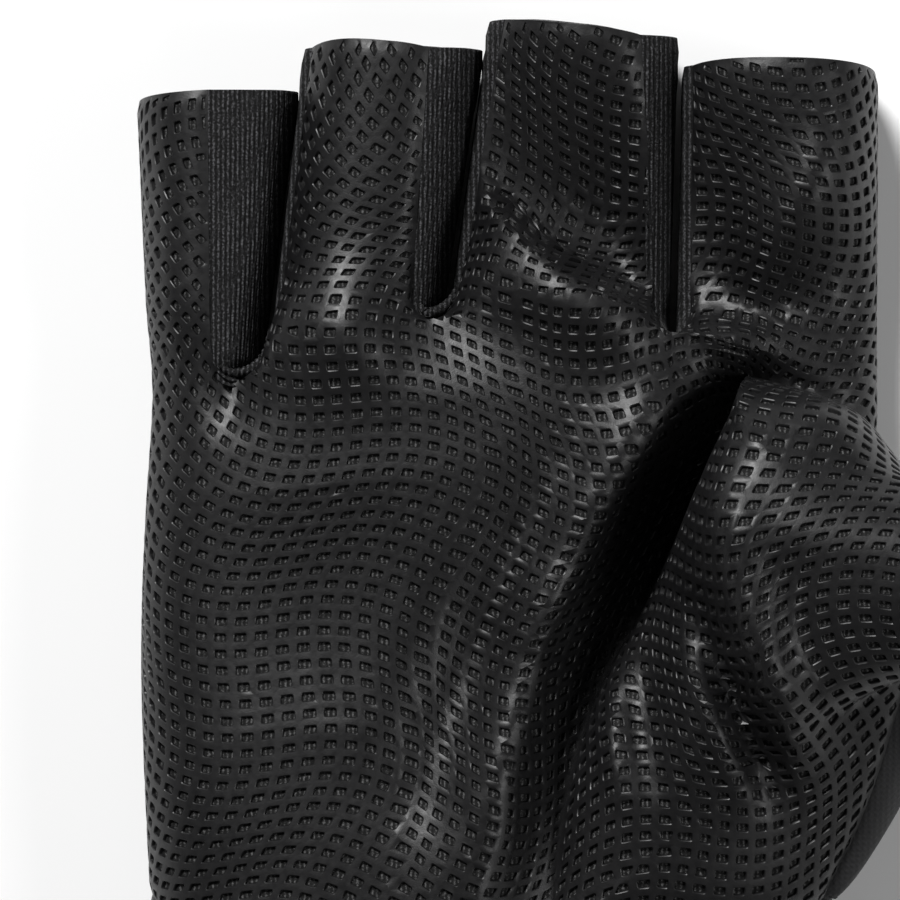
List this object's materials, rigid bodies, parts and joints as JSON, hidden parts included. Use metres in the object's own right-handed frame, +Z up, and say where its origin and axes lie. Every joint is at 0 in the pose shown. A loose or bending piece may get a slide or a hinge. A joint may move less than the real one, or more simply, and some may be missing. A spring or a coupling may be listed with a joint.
{
  "type": "weightlifting glove",
  "caption": "Fingerless right-hand training glove with a perforated leather palm, knit side walls between the fingers, an open thumb and a plain cloth wrist band.",
  "frame": {"origin": "under the middle of the whole glove, on the surface it rests on", "axes": "+Z up out of the palm, +Y from the wrist to the finger openings, +X towards the thumb"},
  "size_m": [0.1128, 0.1546, 0.0385],
  "materials": {
    "palm_leather": "semi-gloss, perforated in a wavy grid",
    "thumb_leather": "semi-gloss, perforated in a wavy grid",
    "back_cloth": "matt smooth stretch cloth",
    "gusset_knit": "matt ribbed knit",
    "cuff_cloth": "matt padded cloth band"
  },
  "bodies": {
    "root": {"palm_panel": "palm_leather", "thumb_front": "thumb_leather", "thumb_back": "back_cloth", "back_panel": "back_cloth", "gusset_little_ring": "gusset_knit", "gusset_ring_middle": "gusset_knit", "gusset_middle_index": "gusset_knit", "wrist_cuff": "cuff_cloth"}
  },
  "joints": []
}
